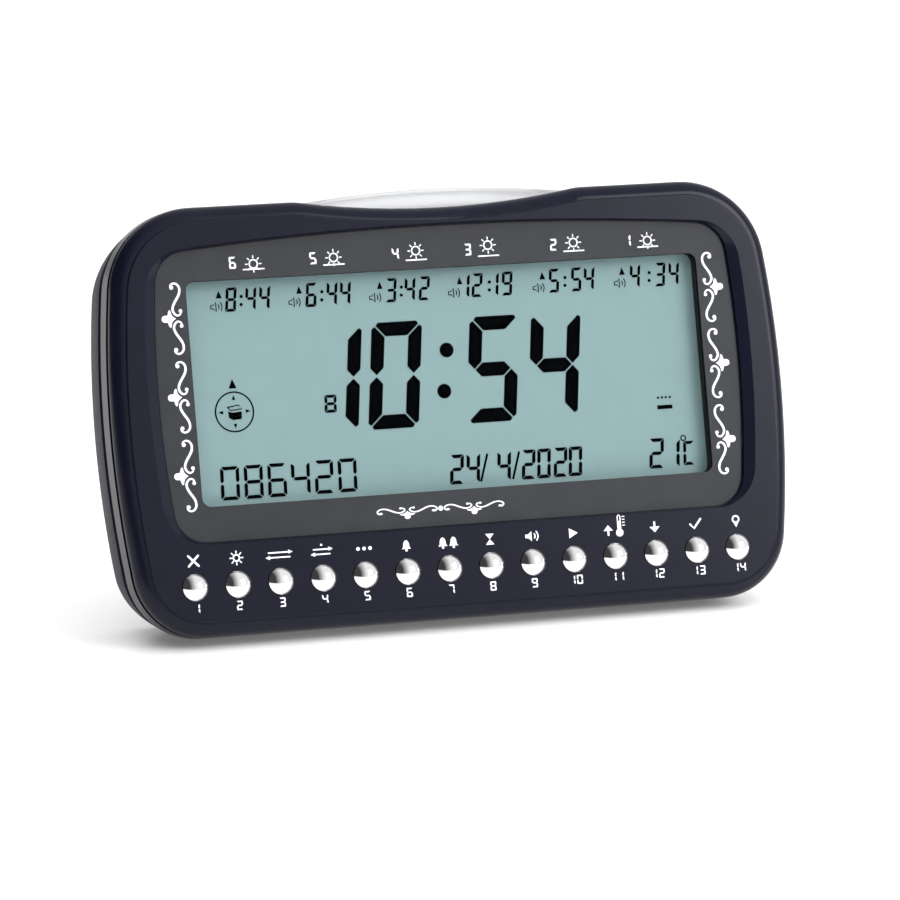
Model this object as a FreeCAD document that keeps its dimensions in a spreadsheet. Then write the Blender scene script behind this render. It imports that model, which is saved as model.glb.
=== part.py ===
import FreeCAD, Part
import Sketcher
import math
import os
from FreeCAD import Vector, Placement, Rotation

# ---------------------------------------------------------------------------
# Table clock with a wide display, fourteen push buttons, a light bar in the
# top edge and a fold-out leg.  Millimetres.
#
# Every piece is drawn upright: x to the right, y from the face plane (y = 0)
# towards the back, z up from the lowest point of the front casing.  At the
# end each piece gets one placement that leans the clock back and stands it
# on z = 0, with the origin under the middle of its outer box.
# ---------------------------------------------------------------------------

doc = FreeCAD.newDocument("table_clock")
sheet = doc.addObject("Spreadsheet::Sheet", "dims")
D = {}


def dim(name, value):
    """One driving dimension: a labelled cell with an alias."""
    row = len(D) + 1
    sheet.set("A%d" % row, name)
    sheet.set("B%d" % row, repr(float(value)))
    sheet.setAlias("B%d" % row, name)
    D[name] = float(value)
    return name


# overall
dim("lean_angle", 14.0)
dim("shift_back", 0.0)
dim("lift_up", 0.0)
dim("body_half", 96.4)
dim("body_top", 115.4)
dim("side_radius", 300.0)
dim("corner_upper", 23.8)
dim("corner_lower", 19.3)
dim("mid_level", 57.7)
dim("scoop_half", 40.6)
dim("scoop_depth", 3.5)
dim("scoop_blend", 22.0)
dim("wall_skin", 2.2)
# front casing depths
dim("roll_start", 0.5)
dim("roll_radius", 3.8)
dim("crease_inset", 3.85)
dim("crease_round", 0.4)
dim("face_inner", 3.8)
dim("front_end", 11.7)
dim("groove_front", 4.4)
dim("groove_width", 2.1)
dim("groove_depth", 0.6)
dim("tongue_front", 10.5)
# lens and display
dim("lens_half", 83.45)
dim("lens_low", 25.3)
dim("lens_top", 106.8)
dim("lens_corner", 9.0)
dim("lens_arch", 850.0)
dim("lens_front", 0.7)
dim("lens_thick", 1.5)
dim("lens_gap", 0.35)
dim("window_half", 73.5)
dim("window_low", 34.85)
dim("window_top", 95.35)
dim("window_corner", 2.5)
dim("lcd_front", 6.4)
dim("lcd_thick", 2.6)
dim("board_front", 12.0)
dim("board_thick", 1.6)
# buttons
dim("button_pitch", 12.0)
dim("button_level", 13.6)
dim("button_radius", 3.55)
dim("button_hole", 3.72)
dim("button_rise", 2.0)
dim("button_rear", 8.8)
dim("button_flange", 4.35)
# rear cover
dim("rear_front", 14.4)
dim("rear_shoulder", 15.3)
dim("rear_end", 34.5)
# light bar
dim("bar_half", 40.5)
dim("bar_front", 8.7)
dim("bar_back", 23.2)
dim("bar_crest", 117.5)
dim("bar_arch", 323.0)
dim("bar_low", 107.0)
# leg
dim("pin_depth", 31.4)
dim("pin_level", 66.0)
dim("pin_radius", 1.25)
dim("leg_half", 22.2)
dim("leg_reach", 60.0)
dim("leg_pad_radius", 1.75)
dim("table_level", -3.9)
# cells
dim("cell_radius", 7.1)
dim("cell_length", 50.0)
dim("cell_depth", 24.7)
dim("cell_level_low", 38.2)
dim("cell_level_high", 53.4)
# speaker
dim("speaker_middle", 52.0)
dim("speaker_level", 46.0)
dim("speaker_radius", 20.0)

doc.recompute()

# ---------------------------------------------------------------------------
# outline geometry in the x, z plane
# ---------------------------------------------------------------------------


def P(x, z):
    return Vector(x, z, 0)


def arc(c, r, a0, a1):
    """Counter-clockwise arc from angle a0 to a1."""
    return Part.ArcOfCircle(Part.Circle(Vector(c[0], c[1], 0), Vector(0, 0, 1), r), a0, a1)


def seg(a, b):
    return Part.LineSegment(P(*a), P(*b))


def ang(c, p):
    return math.atan2(p[1] - c[1], p[0] - c[0])


def arc_pts(c, r, p, q):
    """Counter-clockwise arc about c from p to q."""
    a0, a1 = ang(c, p), ang(c, q)
    while a1 <= a0:
        a1 += 2 * math.pi
    return arc(c, r, a0, a1)


def barrel(half, mid, rs, z0, z1, rb, rt, arch=0.0, scoop=None):
    """Closed outline, counter-clockwise from the bottom right: flat bottom,
    bulging sides, rounded corners and a flat, arched or scooped top."""
    cs = (half - rs, mid)
    # lower right corner
    zc = z0 + rb
    xc = cs[0] + math.sqrt((rs - rb) ** 2 - (zc - mid) ** 2)
    lb = (xc, z0)
    a = ang(cs, (xc, zc))
    ls = (cs[0] + rs * math.cos(a), cs[1] + rs * math.sin(a))
    cb = (xc, zc)
    # upper right corner
    if arch:
        ct0 = (0.0, z1 - arch)
        d0, d1 = rs - rt, arch - rt
        ex, ez = ct0[0] - cs[0], ct0[1] - cs[1]
        dd = math.hypot(ex, ez)
        k = (d0 * d0 - d1 * d1 + dd * dd) / (2 * dd)
        hh = math.sqrt(max(d0 * d0 - k * k, 0))
        mx, mz = cs[0] + ex / dd * k, cs[1] + ez / dd * k
        cand = [(mx - ez / dd * hh, mz + ex / dd * hh), (mx + ez / dd * hh, mz - ex / dd * hh)]
        ct = max(cand, key=lambda p: p[0] + p[1])
        a = ang(ct0, ct)
        tt = (ct0[0] + arch * math.cos(a), ct0[1] + arch * math.sin(a))
    else:
        zt = z1 - rt
        xt = cs[0] + math.sqrt((rs - rt) ** 2 - (zt - mid) ** 2)
        ct = (xt, zt)
        tt = (xt, z1)
    a = ang(cs, ct)
    ts = (cs[0] + rs * math.cos(a), cs[1] + rs * math.sin(a))
    mir = lambda p: (-p[0], p[1])
    g = [
        seg(mir(lb), lb),
        arc_pts(cb, rb, lb, ls),
        arc_pts(cs, rs, ls, ts),
        arc_pts(ct, rt, ts, tt),
    ]
    if scoop:
        k, depth, rk = scoop
        r = (k * k + depth * depth) / (2 * depth)
        co = (0.0, z1 - depth + r)
        cf_z = z1 - rk
        xf = math.sqrt((r + rk) ** 2 - (co[1] - cf_z) ** 2)
        cf = (xf, cf_z)
        top = (xf, z1)
        u = ((co[0] - cf[0]) / (r + rk), (co[1] - cf[1]) / (r + rk))
        low = (cf[0] + rk * u[0], cf[1] + rk * u[1])
        g += [seg(tt, top), arc_pts(cf, rk, top, low)]
        # the scoop itself bends the other way
        g += [arc_pts(co, r, mir(low), low)]
        g += [arc_pts(mir(cf), rk, mir(low), mir(top)), seg(mir(top), mir(tt))]
    elif arch:
        g += [arc_pts(ct0, arch, tt, mir(tt))]
    else:
        g += [seg(tt, mir(tt))]
    g += [
        arc_pts(mir(ct), rt, mir(tt), mir(ts)),
        arc_pts(mir(cs), rs, mir(ts), mir(ls)),
        arc_pts(mir(cb), rb, mir(ls), mir(lb)),
    ]
    return g


def body_outline(inset=0.0, scoop=True, low=None, top=None, side=None, rt=None, rb=None):
    side = inset if side is None else side
    low = inset if low is None else low
    top = inset if top is None else top
    return barrel(
        D["body_half"] - side,
        D["mid_level"],
        D["side_radius"],
        low,
        D["body_top"] - top,
        (D["corner_lower"] - inset) if rb is None else rb,
        (D["corner_upper"] - inset) if rt is None else rt,
        0.0,
        (D["scoop_half"], D["scoop_depth"], D["scoop_blend"]) if scoop else None,
    )


def rrect(x0, x1, z0, z1, r=0.0):
    if r <= 0:
        return [seg((x0, z0), (x1, z0)), seg((x1, z0), (x1, z1)), seg((x1, z1), (x0, z1)), seg((x0, z1), (x0, z0))]
    q = math.pi / 2
    return [
        seg((x0 + r, z0), (x1 - r, z0)),
        arc((x1 - r, z0 + r), r, -q, 0),
        seg((x1, z0 + r), (x1, z1 - r)),
        arc((x1 - r, z1 - r), r, 0, q),
        seg((x1 - r, z1), (x0 + r, z1)),
        arc((x0 + r, z1 - r), r, q, 2 * q),
        seg((x0, z1 - r), (x0, z0 + r)),
        arc((x0 + r, z0 + r), r, 2 * q, 3 * q),
    ]


def circle(x, z, r):
    return [Part.Circle(Vector(x, z, 0), Vector(0, 0, 1), r)]


# ---------------------------------------------------------------------------
# one piece = one body whose features are sized from the sheet
# ---------------------------------------------------------------------------

PIECES = []
POCKETS = []
_extra = [0]


def cell(value, hint="size"):
    """A number becomes a cell of its own; a name is used as it is."""
    if isinstance(value, str):
        return value
    for k, v in D.items():
        if k.startswith("depth_") and abs(v - value) < 1e-9:
            return k
    _extra[0] += 1
    return dim("depth_%s_%d" % (hint, _extra[0] + 100), value)


class Piece:
    def __init__(self, label):
        self.label = label
        self.body = doc.addObject("PartDesign::Body", label)
        self.body.Label = label
        self.count = 0
        PIECES.append(self)

    def plane(self, role):
        for f in self.body.Origin.OriginFeatures:
            if f.Role == role:
                return f
        raise RuntimeError(role)

    def sketch(self, geo, depth=None, role="XZ_Plane", radius=None):
        """geo: list of closed loops. depth: cell name of the y it lies at."""
        self.count += 1
        sk = self.body.newObject("Sketcher::SketchObject", "%s_sketch%d" % (self.label, self.count))
        sk.AttachmentSupport = [(self.plane(role), "")]
        sk.MapMode = "FlatFace"
        if depth is not None:
            name = cell(depth)
            sk.AttachmentOffset = Placement(Vector(0, 0, -D[name]), Rotation())
            sk.setExpression(".AttachmentOffset.Base.z", "-dims.%s" % name)
        cons = []
        for loop in geo:
            ids = [sk.addGeometry(g, False) for g in loop]
            if len(loop) == 1:
                if radius:
                    cons.append((ids[0], radius))
                continue
            n = len(ids)
            for k in range(n):
                # ends are matched by place, because an arc's own ends run
                # counter-clockwise
                a, b = ids[k], ids[(k + 1) % n]
                best = None
                for pa in (1, 2):
                    for pb in (1, 2):
                        va, vb = sk.getPoint(a, pa), sk.getPoint(b, pb)
                        d = (va - vb).Length
                        if best is None or d < best[0]:
                            best = (d, pa, pb)
                if best[0] > 1e-4:
                    raise RuntimeError("open outline in %s: %g" % (self.label, best[0]))
                sk.addConstraint(Sketcher.Constraint("Coincident", a, best[1], b, best[2]))
        for gid, rname in cons:
            k = sk.addConstraint(Sketcher.Constraint("Radius", gid, D[rname]))
            sk.setExpression("Constraints[%d]" % k, "dims.%s" % rname)
        return sk

    def pad(self, geo, y0, y1, radius=None):
        y0n, y1n = cell(y0), cell(y1)
        sk = self.sketch(geo, y0n, radius=radius)
        f = self.body.newObject("PartDesign::Pad", "%s_pad%d" % (self.label, self.count))
        f.Profile = sk
        f.Reversed = True
        f.Length = D[y1n] - D[y0n]
        f.setExpression("Length", "dims.%s - dims.%s" % (y1n, y0n))
        self.last = f
        return f

    def pocket(self, geo, y0, y1, radius=None):
        y0n, y1n = cell(y0), cell(y1)
        sk = self.sketch(geo, y0n, radius=radius)
        f = self.body.newObject("PartDesign::Pocket", "%s_pocket%d" % (self.label, self.count))
        f.Profile = sk
        f.Reversed = False
        f.Length = D[y1n] - D[y0n]
        f.setExpression("Length", "dims.%s - dims.%s" % (y1n, y0n))
        POCKETS.append(f)
        self.last = f
        return f

    def loft(self, sections, kind="PartDesign::AdditiveLoft", ruled=False):
        sks = [self.sketch([g], y) for y, g in sections]
        f = self.body.newObject(kind, "%s_loft%d" % (self.label, self.count))
        f.Profile = sks[0]
        f.Sections = sks[1:]
        f.Ruled = ruled
        self.last = f
        return f

    def revolve(self, loop, x, z, reverse=False):
        """loop: closed loop of (radius, y) points, or lines and arcs in that
        frame, turned about the line through (x, z) along y."""
        self.count += 1
        sk = self.body.newObject("Sketcher::SketchObject", "%s_sketch%d" % (self.label, self.count))
        sk.AttachmentSupport = [(self.plane("XY_Plane"), "")]
        sk.MapMode = "FlatFace"
        sk.AttachmentOffset = Placement(Vector(x, 0, z), Rotation())
        ids = [sk.addGeometry(g, False) for g in loop]
        n = len(ids)
        for k in range(n):
            a, b = ids[k], ids[(k + 1) % n]
            best = min(
                ((sk.getPoint(a, pa) - sk.getPoint(b, pb)).Length, pa, pb) for pa in (1, 2) for pb in (1, 2)
            )
            if best[0] > 1e-4:
                raise RuntimeError("open profile in %s" % self.label)
            sk.addConstraint(Sketcher.Constraint("Coincident", a, best[1], b, best[2]))
        f = self.body.newObject("PartDesign::Revolution", "%s_turn%d" % (self.label, self.count))
        f.Profile = sk
        f.ReferenceAxis = (sk, ["V_Axis"])
        f.Angle = 360.0
        f.Reversed = reverse
        self.last = f
        return f

    def fillet(self, radius, pick):
        self.last.recompute(True)
        names = []
        for k, e in enumerate(self.last.Shape.Edges):
            if pick(e):
                names.append("Edge%d" % (k + 1))
        if not names:
            raise RuntimeError("no edge to round in %s" % self.label)
        f = self.body.newObject("PartDesign::Fillet", "%s_round%d" % (self.label, self.count))
        f.Base = (self.last, names)
        rn = cell(radius, "round")
        f.Radius = D[rn]
        f.setExpression("Radius", "dims.%s" % rn)
        self.last = f
        self.count += 1
        return f


def at_y(y, tol=1e-3, test=None):
    def pick(e):
        bb = e.BoundBox
        if abs(bb.YMin - y) > tol or abs(bb.YMax - y) > tol:
            return False
        return test(bb) if test else True

    return pick


def poly(points):
    """Closed polygon of (radius, y) points for a turned profile."""
    n = len(points)
    return [
        Part.LineSegment(Vector(points[k][0], points[k][1], 0), Vector(points[(k + 1) % n][0], points[(k + 1) % n][1], 0))
        for k in range(n)
    ]


# ---------------------------------------------------------------------------
# front casing: rolled edge, raised flat face, dished lens seat, button holes
# ---------------------------------------------------------------------------

BUTTON_X = [(k - 6.5) * D["button_pitch"] for k in range(14)]
ZB = D["button_level"]

front = Piece("front_casing")
front.pad([body_outline()], "roll_start", "front_end")
front.fillet("roll_radius", at_y(D["roll_start"]))
front.pad([body_outline(D["crease_inset"])], 0.0, 1.6)
front.fillet("crease_round", at_y(0.0))


def lens_outline(extra=0.0, corner=0.0, side=0.0):
    return barrel(
        D["lens_half"] + extra + side,
        65.9,
        D["side_radius"],
        D["lens_low"] - extra,
        D["lens_top"] + extra,
        D["lens_corner"] + extra + corner,
        D["lens_corner"] + extra + corner,
        D["lens_arch"],
    )


# the dish: wide slopes at the two sides, hardly any above and below
front.loft(
    [(-0.02, lens_outline(D["lens_gap"] + 0.25, 2.4, 2.75)), (1.15, lens_outline(D["lens_gap"], 0.0))],
    "PartDesign::SubtractiveLoft",
    ruled=True,
)
front.pocket([lens_outline(D["lens_gap"])], 1.1, 2.2)
front.pocket(
    [rrect(-D["window_half"] - 0.3, D["window_half"] + 0.3, D["window_low"] - 0.35, D["window_top"] + 0.35, 2.6)],
    2.1,
    5.0,
)
# hollow behind the face
front.pocket([body_outline(D["wall_skin"])], "face_inner", 12.0)
front.pocket([body_outline(1.1)], "tongue_front", 12.0)
# groove behind the rolled edge
big = rrect(-110, 110, -15, 130)
front.pocket([big, body_outline(D["groove_depth"])], "groove_front", D["groove_front"] + D["groove_width"])
# one row of round holes for the buttons
front.pocket([circle(x, ZB, D["button_hole"]) for x in BUTTON_X], -1.0, 5.0, radius="button_hole")
# opening in the top wall for the light bar
front.pocket([rrect(-D["bar_half"] - 0.3, D["bar_half"] + 0.3, 105.0, 125.0)], 8.5, 13.0)
# posts for the case screws and for the circuit board
POST_LOW, POST_TOP = (72.0, 23.5), (60.0, 104.5)
for s in (-1, 1):
    front.pad([circle(s * POST_LOW[0], POST_LOW[1], 3.0)], 3.7, 14.8)
    front.pad([circle(s * POST_TOP[0], POST_TOP[1], 2.6)], 3.7, 14.8)
    front.pad([circle(s * 84.2, 32.0, 2.4)], 3.7, "board_front")
    front.pad([circle(s * 84.2, 88.0, 2.4)], 3.7, "board_front")
front.pocket(
    [circle(s * p[0], p[1], 1.0) for s in (-1, 1) for p in (POST_LOW, POST_TOP)],
    6.8,
    14.8,
)
front.pocket([circle(s * 84.2, zz, 0.8) for s in (-1, 1) for zz in (32.0, 88.0)], 7.0, "board_front")

# ---------------------------------------------------------------------------
# lens, display frame, display, light panel, rubber contact strips
# ---------------------------------------------------------------------------

lens = Piece("display_lens")
lens.pad([lens_outline()], "lens_front", D["lens_front"] + D["lens_thick"])
lens.fillet(0.3, at_y(D["lens_front"]))

frame_ = Piece("lcd_frame")
frame_.pad([rrect(-80, 80, 28.6, 101.6, 2.0)], "face_inner", "board_front")
frame_.pocket([rrect(-73.6, 73.6, 34.75, 95.45, 2.5)], 3.0, 7.0)
frame_.pocket([rrect(-77.4, 77.4, 31.4, 98.8, 0.8)], "lcd_front", 13.0)

lcd = Piece("lcd_glass")
lcd.pad([rrect(-77.2, 77.2, 31.6, 98.6, 0.3)], "lcd_front", D["lcd_front"] + D["lcd_thick"] / 2)
lcd.pad([rrect(-77.2, 77.2, 34.9, 98.6, 0.3)], D["lcd_front"] + D["lcd_thick"] / 2, D["lcd_front"] + D["lcd_thick"])

back_light = Piece("backlight_panel")
back_light.pad([rrect(-76.9, 76.9, 35.2, 98.3, 0.5)], 9.05, 11.9)

zebra = Piece("zebra_strips")
zebra.pad([rrect(-74, -1.5, 31.8, 34.4)], 7.75, 12.0)
zebra.pad([rrect(1.5, 74, 31.8, 34.4)], 7.75, 12.0)

# ---------------------------------------------------------------------------
# circuit board and what is on it
# ---------------------------------------------------------------------------

BF = D["board_front"]
BB = D["board_front"] + D["board_thick"]
board = Piece("main_circuit_board")
board.pad([rrect(-87, 87, 6.0, 101.6, 14.0)], "board_front", BB)
board.pocket([circle(s * POST_LOW[0], POST_LOW[1], 3.4) for s in (-1, 1)], 11.0, 15.0)
board.pocket([circle(s * 84.2, zz, 1.2) for s in (-1, 1) for zz in (32.0, 88.0)], 11.0, 15.0)

keypad = Piece("rubber_keypad")
keypad.pad([rrect(-84.5, 84.5, 7.6, 19.6, 3.0)], 11.1, "board_front")
for x in BUTTON_X:
    keypad.pad([circle(x, ZB, 3.4)], 10.1, 11.1)
    keypad.pad([circle(x, ZB, 2.2)], "button_rear", 10.1)

chip = Piece("controller_chip")
chip.pad([circle(0.0, 78.0, 6.0)], BB, BB + 1.3)
chip.fillet(1.0, at_y(BB + 1.3))

sound = Piece("sound_chip")
sound.pad([rrect(20.0, 30.0, 80.0, 87.5, 0.2)], BB + 0.25, BB + 1.75)
for k in range(7):
    sound.pad([rrect(21.0 + k * 1.27, 21.5 + k * 1.27, 78.6, 88.9)], BB, BB + 0.25)

crystal = Piece("quartz_crystal")
crystal.pad([rrect(-19.5, -18.2, 71.0, 78.0, 0.3)], BB, BB + 1.4)

caps = Piece("capacitors")
for x, z in ((38.0, 84.0), (-30.0, 86.0), (-30.0, 93.0)):
    caps.pad([circle(x, z, 2.5)], BB, BB + 5.4)

sensor = Piece("temperature_sensor")
sensor.pad([circle(70.0, 92.0, 1.6)], BB, BB + 4.5)
sensor.fillet(1.2, at_y(BB + 4.5))

switch = Piece("light_bar_switch")
switch.pad([rrect(-3.0, 3.0, 95.3, 100.3, 0.2)], BB, BB + 3.6)
switch.pad([rrect(-1.4, 1.4, 100.3, 102.1)], BB + 1.0, BB + 2.8)

# ---------------------------------------------------------------------------
# rear cover
# ---------------------------------------------------------------------------

# how far the outer wall stands in from the casing outline at each depth:
# (depth, sides, below, above)
REAR = [
    (D["rear_shoulder"], 0.30, 0.75, 0.6),
    (18.0, 0.40, 1.30, 0.9),
    (24.0, 0.95, 2.65, 1.9),
    (29.0, 2.45, 4.0, 3.3),
    (32.4, 5.6, 5.1, 4.9),
    (D["rear_end"], 9.6, 6.9, 7.2),
]


def rear_outline(side, low, top, skin=0.0):
    return barrel(
        D["body_half"] - side - skin,
        D["mid_level"],
        D["side_radius"],
        low + skin,
        D["body_top"] - top - skin,
        max(D["corner_lower"] - 0.8 * side - skin, 3.0),
        max(D["corner_upper"] - 0.8 * side - skin, 3.0),
    )


rear = Piece("rear_cover")
rear.loft([(y, rear_outline(s, b, t)) for y, s, b, t in REAR])
# bevelled shoulder beside the shadow gap between the two halves
rear.loft([(D["rear_front"], rear_outline(1.25, 1.6, 1.5)), (D["rear_shoulder"], rear_outline(0.30, 0.75, 0.6))], ruled=True)
SK = D["wall_skin"]
inner = [(12.05, rear_outline(0.35, 0.45, 0.35, SK))]
inner += [(y, rear_outline(s, b, t, SK)) for y, s, b, t in REAR[1:4]]
inner += [(32.2, rear_outline(6.6, 5.3, 5.4, SK))]
rear.loft(inner, "PartDesign::SubtractiveLoft")
# tongue that enters the front casing
rear.pad([body_outline(1.2), body_outline(2.6)], 10.6, D["rear_front"] + 0.4)
# wall of the cell compartment, the leg recess block, screw pillars
rear.pad([rrect(-82.4, -24.0, 29.1, 62.5, 1.0)], 15.4, 32.6)
rear.pad([rrect(-25.0, 25.0, 5.4, 73.0)], 29.0, 32.6)
rear.pad([rrect(-25.0, 25.0, 58.0, 73.0)], 25.8, 29.5)
for s in (-1, 1):
    rear.pad([circle(s * POST_LOW[0], POST_LOW[1], 4.2)], 14.8, 32.8)
    rear.pad([circle(s * POST_TOP[0], POST_TOP[1], 3.8)], 14.8, 32.8)
for dz in (-24.0, 24.0):
    rear.pad([circle(D["speaker_middle"], D["speaker_level"] + dz, 2.6)], 30.8, 32.6)
rear.pocket([rrect(-80.9, -25.6, 30.6, 61.0, 0.5)], 17.0, 32.9)
rear.pocket([rrect(-79.4, -27.0, 31.6, 60.0, 0.5)], 32.0, 36.0)
rear.pocket([rrect(-81.6, -25.3, 29.7, 61.9, 2.0)], 33.0, 36.0)
rear.pocket([rrect(-58.5, -48.0, 60.0, 64.4, 1.0)], 33.6, 36.0)
rear.pocket([rrect(-23.0, 23.0, -6.0, 71.0)], 31.0, 40.0)
rear.pocket([rrect(-23.0, 23.0, 60.0, 71.0)], 27.9, 32.0)
rear.pocket(
    [circle(s * p[0], p[1], 1.45) for s in (-1, 1) for p in (POST_LOW, POST_TOP)],
    14.0,
    20.0,
)
rear.pocket(
    [circle(s * p[0], p[1], 2.7) for s in (-1, 1) for p in (POST_LOW, POST_TOP)],
    17.3,
    36.0,
)
rear.pocket([circle(D["speaker_middle"], D["speaker_level"] + dz, 0.8) for dz in (-24.0, 24.0)], 30.0, 32.0)
# sound holes
holes = []
for i in range(-4, 5):
    for j in range(-4, 5):
        hx = 4.1 * (i + 0.5 * j)
        hz = 4.1 * j * math.sqrt(3) / 2
        if math.hypot(hx, hz) < 15.2:
            holes.append(circle(D["speaker_middle"] + hx, D["speaker_level"] + hz, 1.15))
rear.pocket(holes, 31.0, 36.0)
# slots for the air that the sensor reads
rear.pocket([rrect(62.0, 78.0, 88.0 + 3.0 * k, 89.3 + 3.0 * k, 0.6) for k in range(4)], 30.0, 36.0)
# opening for the light bar
rear.pocket([rrect(-D["bar_half"] - 0.3, D["bar_half"] + 0.3, 104.5, 125.0)], 9.0, D["bar_back"] + 0.25)

# hinge pin bores and the two foot pad seats are turned and boxed tools
TH = math.radians(D["lean_angle"])


def seat_box(x, grow=0.0, lift=0.0):
    """Foot pad: its under side is level once the clock leans back."""
    b = Part.makeBox(24.0 + 2 * grow, 11.0 + 2 * grow, 1.8 + lift)
    b.translate(Vector(x - 12.0 - grow, -5.5 - grow, 0))
    b = b.makeFillet(2.5, [e for e in b.Edges if abs(e.BoundBox.ZMax - e.BoundBox.ZMin) > 1.5 and e.Length < 3.0 + lift])
    y, z = 25.0, 25.0 * math.tan(TH) - 3.4
    # table level in the leaning frame is a plane through this point
    yy = y * math.cos(TH) + z * math.sin(TH)
    b.translate(Vector(0, yy, D["table_level"]))
    b.rotate(Vector(0, 0, 0), Vector(1, 0, 0), D["lean_angle"])
    return b


rear_tools = Part.makeCylinder(D["pin_radius"], 49.0, Vector(-24.5, D["pin_depth"], D["pin_level"]), Vector(1, 0, 0))
rear_tools = rear_tools.fuse([seat_box(-62.0, 0.05, 1.0), seat_box(62.0, 0.05, 1.0)])

# ---------------------------------------------------------------------------
# battery door, light bar, leg
# ---------------------------------------------------------------------------

door = Piece("battery_door")
door.pad([rrect(-81.4, -25.5, 29.9, 61.7, 1.8)], 33.1, "rear_end")
door.pad([rrect(-58.2, -48.3, 61.0, 64.1, 0.9)], 33.7, "rear_end")
door.pad([rrect(-76.0, -72.0, 32.2, 34.6)], 31.4, 33.2)
door.pad([rrect(-35.0, -31.0, 32.2, 34.6)], 31.4, 33.2)
for k in range(5):
    door.pocket([rrect(-60.0 + 0.0, -46.5, 50.0 - 0.6 + k * 2.0, 50.0 + 0.2 + k * 2.0, 0.3)], 34.15, 36.0)

bar = Piece("light_bar")
ba, bc = D["bar_arch"], D["bar_crest"]
bz = bc - ba + math.sqrt(ba * ba - D["bar_half"] ** 2)
bar.pad(
    [
        [
            seg((-D["bar_half"], 109.0), (D["bar_half"], 109.0)),
            seg((D["bar_half"], 109.0), (D["bar_half"], bz)),
            arc_pts((0.0, bc - ba), ba, (D["bar_half"], bz), (-D["bar_half"], bz)),
            seg((-D["bar_half"], bz), (-D["bar_half"], 109.0)),
        ]
    ],
    "bar_front",
    "bar_back",
)
bar.fillet(1.0, lambda e: e.Length > 60 and e.BoundBox.ZMax > 116.5 and e.BoundBox.YMax < D["bar_front"] + 0.01)
bar.fillet(3.0, lambda e: e.Length > 60 and e.BoundBox.ZMax > 116.5 and e.BoundBox.YMin > D["bar_back"] - 0.01)
bar.pad([rrect(-39.5, 39.5, D["bar_low"], 109.2)], 9.2, 22.6)
bar.pad([rrect(-42.8, 42.8, D["bar_low"], 108.6)], 13.5, 18.0)
bar.pad([rrect(-42.8, -41.1, 108.0, 111.9)], 13.5, 18.0)
bar.pad([rrect(41.1, 42.8, 108.0, 111.9)], 13.5, 18.0)
bar.pad([rrect(-2.0, 2.0, 103.5, D["bar_low"] + 0.5)], 14.4, 16.8)

# leg, drawn folded flat into its recess: tip below, pin above
leg = Piece("stand_leg")
PD, PL = D["pin_depth"], D["pin_level"]
tip = PL - D["leg_reach"]
leg.pad([rrect(-D["leg_half"], D["leg_half"], tip + 1.2, PL, 1.0)], 31.35, 34.25)


def pin_bar(label, r, x0, x1, y, z, hole=0.0):
    """Round bar along x as two sheet-sized primitives."""
    c = doc.addObject("Part::Cylinder", label)
    c.Radius = r
    c.Height = x1 - x0
    c.Placement = Placement(Vector(x0, y, z), Rotation(Vector(0, 1, 0), 90))
    return c


leg_knuckle = pin_bar("leg_knuckle", 3.0, -D["leg_half"], D["leg_half"], PD, PL)
leg_bore = pin_bar("leg_bore", D["pin_radius"] + 0.06, -40, 40, PD, PL)
leg_bore.setExpression("Radius", "dims.pin_radius + 0.06")
leg_slot = doc.addObject("Part::Box", "leg_slot")
leg_slot.Length, leg_slot.Width, leg_slot.Height = 16.0, 6.0, 10.0
leg_slot.Placement = Placement(Vector(-8.0, 30.0, PL - 46.0), Rotation())
leg_sum = doc.addObject("Part::Fuse", "leg_sum")
leg_sum.Base, leg_sum.Tool = leg.body, leg_knuckle
leg_cut = doc.addObject("Part::Cut", "leg_cut")
leg_cut.Base, leg_cut.Tool = leg_sum, leg_bore
leg_done = doc.addObject("Part::Cut", "leg_done")
leg_done.Base, leg_done.Tool = leg_cut, leg_slot
leg_pad = pin_bar("stand_foot_pad", D["leg_pad_radius"], -18.0, 18.0, PD + 1.4, tip)
leg_pad.setExpression("Radius", "dims.leg_pad_radius")
pad_seat = pin_bar("leg_pad_seat", D["leg_pad_radius"], -18.0, 18.0, PD + 1.4, tip)
pad_seat.setExpression("Radius", "dims.leg_pad_radius")
leg_final = doc.addObject("Part::Cut", "stand_leg_piece")
leg_final.Base, leg_final.Tool = leg_done, pad_seat

hinge_pin = pin_bar("stand_hinge_pin", D["pin_radius"], -24.5, 24.5, PD, PL)
hinge_pin.setExpression("Radius", "dims.pin_radius")

# ---------------------------------------------------------------------------
# push buttons: domed chrome caps with a collar behind the face
# ---------------------------------------------------------------------------

br, rise, fl, rearb = D["button_radius"], D["button_rise"], D["button_flange"], D["button_rear"]


def dome_profile():
    """Half section in (radius, y): dome in front, collar and stem behind."""
    edge = -0.25
    cap = rise + edge
    R = (br * br + cap * cap) / (2 * cap)
    c = Vector(0, -rise + R, 0)
    a0 = -math.pi / 2
    a1 = math.atan2(edge - c.y, br)
    dome = Part.ArcOfCircle(Part.Circle(c, Vector(0, 0, 1), R), a0, a1)
    pts = [(br, edge), (br, 3.9), (fl, 3.9), (fl, 5.0), (2.2, 5.0), (2.2, rearb), (0, rearb), (0, -rise)]
    lines = [Part.LineSegment(Vector(pts[k][0], pts[k][1], 0), Vector(pts[k + 1][0], pts[k + 1][1], 0)) for k in range(len(pts) - 1)]
    return [dome] + lines


BUTTONS = []
for k, x in enumerate(BUTTON_X):
    b = Piece("button_%02d" % (k + 1))
    b.revolve(dome_profile(), x, ZB)
    BUTTONS.append(b)

# ---------------------------------------------------------------------------
# cells, their springs and contacts
# ---------------------------------------------------------------------------

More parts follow.
